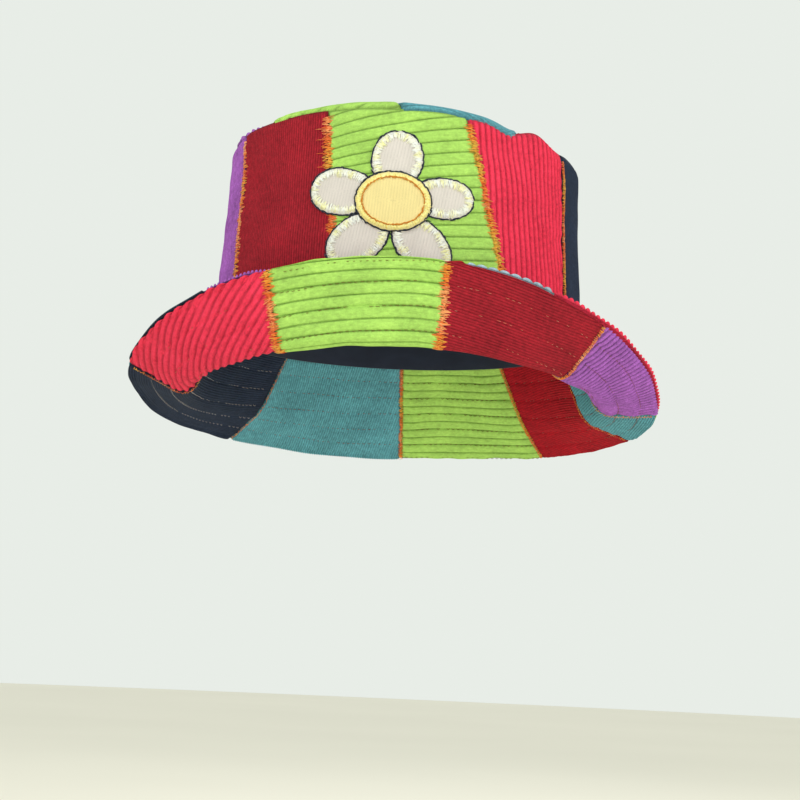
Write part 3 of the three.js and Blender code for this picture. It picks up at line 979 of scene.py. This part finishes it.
def satin_border(outline, band, lift, colours, seed):
    """Close stitches that cross an outline's border, and whose ends are uneven."""
    rng = np.random.default_rng(seed)
    far = walked(*outline(FINE_TURNS, np.ones_like(FINE_TURNS)))
    count = int(far[-1] / SATIN_PITCH)
    turn = np.interp((np.arange(count) + rng.normal(0, 0.35, count)) * SATIN_PITCH, far, FINE_TURNS)
    x, y = outline(turn, np.ones(count))
    cx, cy = outline(np.zeros(1), np.zeros(1))
    ahead_x, ahead_y = outline(turn + 0.002, np.ones(count))
    tx, ty = ahead_x - x, ahead_y - y
    size = np.hypot(tx, ty)
    nx, ny = ty / size, -tx / size
    facing = np.sign((x - cx) * nx + (y - cy) * ny)
    nx, ny = nx * facing, ny * facing
    out = rng.uniform(-0.9, -0.2, count)
    inward = band * rng.uniform(0.72, 1.18, count)
    lean = rng.normal(0, 0.5, count)
    starts = (x + nx * out, y + ny * out)
    ends = (x - nx * inward - ny * lean, y - ny * inward + nx * lean)
    path, ups = stitches(flower_at, starts, ends, lift + SATIN_RISE)
    return path, ups, np.full(count, 0.2), colours(turn, rng, count)


def outline_stitches(outline, offset, lift, seed, length=2.7, passes=2, radius=0.38, spread=0.3):
    """Running stitches that follow an outline in a few close passes."""
    rng = np.random.default_rng(seed)
    x, y = outline(FINE_TURNS, np.ones_like(FINE_TURNS))
    tx, ty = np.gradient(x), np.gradient(y)
    size = np.hypot(tx, ty)
    cx, cy = outline(np.zeros(1), np.zeros(1))
    facing = np.sign((x - cx) * ty - (y - cy) * tx)
    x = x + offset * facing * ty / size
    y = y - offset * facing * tx / size
    far = walked(x, y)
    count = int(far[-1] / length)

    def swayed(at):
        sway = rng.normal(0, spread, (2, count))
        return np.interp(at, far, x) + sway[0], np.interp(at, far, y) + sway[1]

    batches = []
    for k in range(passes):
        at = (np.arange(count) + 0.45 * k) * length
        to = at + length * rng.uniform(0.92, 1.08, count)
        path, ups = stitches(flower_at, swayed(at), swayed(to), lift + OUTLINE_RISE)
        batches.append((path, ups, radius * rng.uniform(0.8, 1.15, count), np.full(count, 0.5)))
    return joined(batches)


def sew_flower():
    def white_and_cream(turn, rng, count):
        angle = 2 * math.pi * turn
        patchy = 0.5 + 0.5 * np.sin(9 * angle + 2 * np.sin(4 * angle))
        creamy = 0.25 + 0.75 * patchy * rng.uniform(0, 1, count) ** 0.5
        return np.clip(creamy + rng.normal(0, 0.12, count), 0, 1)

    def all_yellow(turn, rng, count):
        return np.clip(rng.normal(0.5, 0.22, count), 0, 1)

    white = thread_material("satin_white", SATIN_WHITE)
    yellow = thread_material("satin_yellow", SATIN_YELLOW)
    dark = thread_material("outline_thread", OUTLINE_COLOURS)
    outlines = []
    for i, (name, *shape) in enumerate(PETALS):
        outline = petal_outline(*shape)
        batches = [satin_border(outline, band, 1.35 + 0.12 * k, white_and_cream, 700 + 10 * i + k)
                   for k, band in enumerate((4.7, 3.4))]
        join_threads(f"satin_{name}", batches, white)
        outlines.append(outline_stitches(outline, -0.15, 0.95, 760 + i))
    batches = [satin_border(disc_outline, band, 2.5 + 0.12 * k, all_yellow, 800 + k)
               for k, band in enumerate((3.9, 3.2))]
    join_threads("satin_flower_centre", batches, yellow)
    outlines.append(outline_stitches(disc_outline, -0.15, 2.3, 790))
    join_threads("outline_flower", outlines, dark)

    def inner_ring(turn, share):
        return disc_outline(turn, 0.79 * share)

    ring = outline_stitches(inner_ring, 0.0, 3.45, 795, length=1.9, passes=3, radius=0.26, spread=0.25)
    join_threads("ring_flower", [ring], thread_material("ring_thread", RING_COLOURS))


# ---- materials ----

SEAM_COLOURS = [(0.0, (0.72, 0.58, 0.16)), (0.25, (0.96, 0.76, 0.30)), (0.5, (0.93, 0.52, 0.16)),
                (0.75, (0.89, 0.36, 0.14)), (1.0, (0.98, 0.68, 0.42))]
ROW_COLOURS = [(0.0, (0.44, 0.40, 0.12)), (0.3, (0.52, 0.26, 0.24)), (0.6, (0.84, 0.46, 0.36)),
               (1.0, (0.66, 0.64, 0.64))]
SATIN_WHITE = [(0.0, (0.96, 0.97, 0.98)), (0.5, (0.97, 0.97, 0.90)), (1.0, (0.97, 0.96, 0.68))]
SATIN_YELLOW = [(0.0, (1.00, 0.98, 0.72)), (0.6, (1.00, 0.96, 0.62)), (1.0, (0.96, 0.86, 0.44))]
OUTLINE_COLOURS = [(0.0, (0.07, 0.10, 0.16)), (1.0, (0.14, 0.17, 0.25))]
RING_COLOURS = [(0.0, (0.78, 0.45, 0.10)), (1.0, (0.86, 0.58, 0.18))]


def linear(colour):
    return tuple(c / 12.92 if c <= 0.04045 else ((c + 0.055) / 1.055) ** 2.4 for c in colour) + (1.0,)


class Nodes:
    """A short way to write a material's nodes."""

    def __init__(self, name):
        self.material = bpy.data.materials.new(name)
        self.material.use_nodes = True
        self.tree = self.material.node_tree
        self.tree.nodes.clear()
        self.out = self.add("ShaderNodeOutputMaterial")
        self.shader = self.add("ShaderNodeBsdfPrincipled")
        self.tree.links.new(self.shader.outputs[0], self.out.inputs[0])

    def add(self, kind, **settings):
        node = self.tree.nodes.new(kind)
        for key, value in settings.items():
            setattr(node, key, value)
        return node

    def link(self, source, target):
        if isinstance(source, (int, float, tuple)):
            target.default_value = source
        else:
            self.tree.links.new(source, target)

    def attribute(self, name, output):
        return self.add("ShaderNodeAttribute", attribute_name=name).outputs[output]

    def math(self, operation, a, b=0.0):
        node = self.add("ShaderNodeMath", operation=operation)
        self.link(a, node.inputs[0])
        self.link(b, node.inputs[1])
        return node.outputs[0]

    def stretch(self, vector, scale):
        node = self.add("ShaderNodeMapping")
        self.link(vector, node.inputs["Vector"])
        node.inputs["Scale"].default_value = scale
        return node.outputs[0]

    def noise(self, vector, scale, detail=2.0, roughness=0.5):
        node = self.add("ShaderNodeTexNoise")
        self.link(vector, node.inputs["Vector"])
        node.inputs["Scale"].default_value = scale
        node.inputs["Detail"].default_value = detail
        node.inputs["Roughness"].default_value = roughness
        return node.outputs["Fac"]

    def span(self, value, low, high, to_low=0.0, to_high=1.0):
        node = self.add("ShaderNodeMapRange")
        for key, number in (("Value", value), ("From Min", low), ("From Max", high),
                            ("To Min", to_low), ("To Max", to_high)):
            self.link(number, node.inputs[key])
        return node.outputs[0]

    def vary(self, noise, low, high):
        """A noise, spread from its usual values to the given ones."""
        return self.span(noise, 0.3, 0.7, low, high)

    def mix(self, share, a, b, blend="MIX"):
        node = self.add("ShaderNodeMix", data_type="RGBA", blend_type=blend)
        self.link(share, node.inputs[0])
        self.link(a, node.inputs[6])
        self.link(b, node.inputs[7])
        return node.outputs[2]

    def ramp(self, share, stops):
        node = self.add("ShaderNodeValToRGB")
        ramp = node.color_ramp
        while len(ramp.elements) < len(stops):
            ramp.elements.new(0.5)
        for element, (position, colour) in zip(ramp.elements, stops):
            element.position = position
            element.color = linear(colour)
        self.link(share, node.inputs[0])
        return node.outputs[0]

    def bump(self, height, distance, strength=1.0):
        node = self.add("ShaderNodeBump")
        self.link(height, node.inputs["Height"])
        node.inputs["Distance"].default_value = distance
        node.inputs["Strength"].default_value = strength
        self.link(node.outputs[0], self.shader.inputs["Normal"])

    def surface(self, colour, roughness, sheen=0.0, sheen_roughness=0.5, tint=(1.0, 1.0, 1.0, 1.0)):
        self.link(colour, self.shader.inputs["Base Color"])
        self.link(roughness, self.shader.inputs["Roughness"])
        self.shader.inputs["Sheen Weight"].default_value = sheen
        self.shader.inputs["Sheen Roughness"].default_value = sheen_roughness
        self.shader.inputs["Sheen Tint"].default_value = tint
        self.shader.inputs["Specular IOR Level"].default_value = 0.2


def scaled(colour, factor):
    return tuple(min(c * factor, 1.0) for c in colour)


def corduroy(cloth):
    """Cotton pile in ribs: mottled, and darker in the grooves between the ribs, where shade is painted in.
    """
    name = f"pile_{cloth}"
    if name in bpy.data.materials:
        return bpy.data.materials[name]
    ribs, colour = CLOTHS[cloth]
    _, _, _, dark, uneven = RIBS[ribs]
    n = Nodes(name)
    weave = n.attribute("weave", "Vector")
    rib = n.attribute("rib", "Fac")
    patchy = n.noise(n.stretch(weave, (0.06, 0.045, 1.0)), 1.0, 3.0, 0.55)
    clumps = n.noise(n.stretch(weave, (0.55, 0.38, 1.0)), 1.0, 3.0, 0.6)
    streaks = n.noise(n.stretch(weave, (1.3, 0.25, 1.0)), 1.0, 2.0, 0.6)
    fibres = n.noise(n.stretch(weave, (2.6, 1.5, 1.0)), 1.0, 3.0, 0.7)
    tone = n.math("ADD", n.vary(patchy, -0.11, 0.11), n.vary(streaks, -0.08, 0.08))
    tone = n.math("ADD", tone, n.vary(clumps, -0.13 * uneven, 0.13 * uneven))
    tone = n.math("ADD", tone, n.vary(fibres, -0.12 * uneven, 0.12 * uneven))
    tone = n.math("ADD", tone, 0.5)
    body = n.ramp(tone, [(0.1, scaled(colour, 0.74)), (0.5, colour), (0.9, scaled(colour, 1.22))])
    # Painted shade: in the grooves the colour is multiplied down towards the rib table's dark share, and it
    # is kept on the rib tops.
    painted_groove_shade = n.span(n.math("ADD", rib, n.vary(fibres, -0.14, 0.14)), 0.0, 0.75, dark, 1.0)
    shade = n.add("ShaderNodeCombineColor")
    for i in range(3):
        n.link(painted_groove_shade, shade.inputs[i])
    painted = n.mix(1.0, body, shade.outputs[0], "MULTIPLY")
    pile = n.math("ADD", n.math("MULTIPLY", clumps, 1.0), n.math("MULTIPLY", fibres, 0.7))
    n.bump(pile, 0.7 * MM, 0.75)
    n.surface(painted, n.vary(fibres, 0.86, 0.98), 0.10, 0.4, linear(scaled(colour, 1.2)))
    return n.material


def flower_cloth(name, colour):
    n = Nodes(f"{name}_cloth")
    weave = n.attribute("weave", "Vector")
    rib = n.attribute("rib", "Fac")
    fibres = n.noise(n.stretch(weave, (3.0, 1.2, 1.0)), 1.0, 3.0, 0.6)
    patchy = n.noise(n.stretch(weave, (0.12, 0.06, 1.0)), 1.0, 2.0)
    tone = n.math("ADD", n.vary(fibres, 0.35, 0.65), n.vary(patchy, -0.15, 0.15))
    body = n.ramp(tone, [(0.1, scaled(colour, 0.93)), (0.5, colour), (0.9, scaled(colour, 1.05))])
    # Painted shade: in the grooves between the ribs the colour is mixed towards a darker copy of itself.
    painted = n.mix(n.span(rib, 0.0, 0.8, 0.35, 0.0), body, linear(scaled(colour, 0.78)))
    n.bump(fibres, 0.2 * MM, 0.6)
    n.surface(painted, 0.9, 0.25, 0.4)
    return n.material


def plain_weave(name, colour, size):
    """Crossed threads of the given size in millimetres."""
    n = Nodes(f"weave_{name}")
    weave = n.attribute("weave", "Vector")
    parts = n.add("ShaderNodeSeparateXYZ")
    n.link(weave, parts.inputs[0])
    warp = n.math("SINE", n.math("MULTIPLY", parts.outputs[0], 2 * math.pi / size))
    weft = n.math("SINE", n.math("MULTIPLY", parts.outputs[1], 2 * math.pi / size))
    cross = n.math("MULTIPLY", warp, weft)
    blotch = n.noise(n.stretch(weave, (0.05, 0.05, 1.0)), 1.0, 3.0)
    # Painted light and shade: the tone follows the same crossing pattern as the bump, lighter where the
    # threads stand up and darker where they sink; the blotches are the cloth's own uneven colour.
    tone = n.math("ADD", n.span(cross, -1, 1, 0.3, 0.6), n.vary(blotch, -0.1, 0.1))
    painted = n.ramp(tone, [(0.1, scaled(colour, 0.75)), (0.5, colour), (0.9, scaled(colour, 1.3))])
    n.bump(cross, 0.12 * MM, 0.6)
    n.surface(painted, 0.85, 0.15)
    return n.material


def thread_material(name, stops):
    """Twisted thread, dyed by its tint."""
    if name in bpy.data.materials:
        return bpy.data.materials[name]
    n = Nodes(name)
    tint = n.attribute("tint", "Fac")
    specks = n.noise(n.add("ShaderNodeTexCoord").outputs["Object"], 900.0, 2.0)
    colour = n.ramp(n.math("ADD", tint, n.vary(specks, -0.05, 0.05)), stops)
    n.bump(specks, 0.1 * MM, 0.5)
    n.surface(colour, n.vary(specks, 0.45, 0.65), 0.2, 0.4)
    return n.material


# ---- the studio ----

CAMERA_DISTANCE = 1.0
CAMERA_BELOW = 9.0
CAMERA_ROLL = 2.5
CAMERA_LENS = 84.9
CAMERA_SHIFT = (0.00375, -0.07375)
FLOOR_BELOW = 0.30
FLOOR_RADIUS = 5.4
FLOOR_COLOURS = ((0.93, 0.91, 0.855), (0.96, 0.94, 0.885))
SKY = (0.91, 0.93, 0.906)
LIGHTS = {  # place, size and power
    "key": ((-0.9, -1.2, 1.2), 0.6, 6.5),
    "fill": ((0.4, -1.3, -0.22), 0.9, 8.2),
    "rim": ((0.5, 1.2, 1.0), 0.8, 6),
}


def make_stage():
    low, _ = cad_box
    bpy.ops.mesh.primitive_circle_add(vertices=128, radius=FLOOR_RADIUS, fill_type="NGON",
                                      location=(0, 0, low[2] - FLOOR_BELOW))
    floor = bpy.context.object
    floor.name = "floor"
    n = Nodes("pale_floor")
    cloudy = n.noise(n.add("ShaderNodeTexCoord").outputs["Object"], 1.5, 2.0)
    n.surface(n.mix(cloudy, *(linear(colour) for colour in FLOOR_COLOURS)), 0.8)
    floor.data.materials.append(n.material)
    world = bpy.data.worlds.new("studio")
    world.use_nodes = True
    background = world.node_tree.nodes["Background"]
    background.inputs["Color"].default_value = linear(SKY)
    background.inputs["Strength"].default_value = 1.0
    bpy.context.scene.world = world


def make_light(name, location, size, power):
    data = bpy.data.lights.new(name, "AREA")
    data.size = size
    data.energy = power
    light = bpy.data.objects.new(name, data)
    light.location = location
    light.rotation_euler = (-Vector(location)).to_track_quat("-Z", "Y").to_euler()
    light.visible_camera = False
    bpy.context.scene.collection.objects.link(light)


def make_camera():
    data = bpy.data.cameras.new("camera")
    data.lens = CAMERA_LENS
    data.sensor_width = 36
    data.shift_x, data.shift_y = CAMERA_SHIFT
    camera = bpy.data.objects.new("camera", data)
    low = math.radians(-CAMERA_BELOW)
    camera.location = (0, -math.cos(low) * CAMERA_DISTANCE, math.sin(low) * CAMERA_DISTANCE)
    look = (-camera.location).to_track_quat("-Z", "Y").to_matrix().to_4x4()
    turn = Matrix.Rotation(math.radians(CAMERA_ROLL), 4, "Z")
    camera.matrix_world = Matrix.Translation(camera.location) @ look @ turn
    bpy.context.scene.collection.objects.link(camera)
    bpy.context.scene.camera = camera
    bpy.context.scene.view_settings.view_transform = "Standard"


# ---- making the hat ----

def main():
    make_camera()
    make_stage()
    for name, settings in LIGHTS.items():
        make_light(name, *settings)
    make_crown_side()
    make_tip()
    make_brim_layer("brim_under", UNDER_PATCHES, -0.2, CLOTH, UNDER_CURL, under_reach, 0.0, 400)
    make_brim_layer("brim_upper", UPPER_PATCHES, UPPER_LIFT + 0.2, UPPER_BACK, UPPER_CURL, upper_reach,
                    UPPER_START, 440)
    make_inside()
    make_flower()
    sew_crown()
    sew_brim("zigzag_brim_under", UNDER_PATCHES, -0.3, -1, UNDER_SEAMS, 520)
    sew_brim("zigzag_brim_upper", UPPER_PATCHES, UPPER_LIFT + 0.3, 1, UPPER_SEAMS, 540)
    topstitch("rows_brim_under", UNDER_PATCHES, 0.1, -1, 560)
    topstitch("rows_brim_upper", UPPER_PATCHES, UPPER_LIFT - 0.1, 1, 580)
    sew_flower()


main()
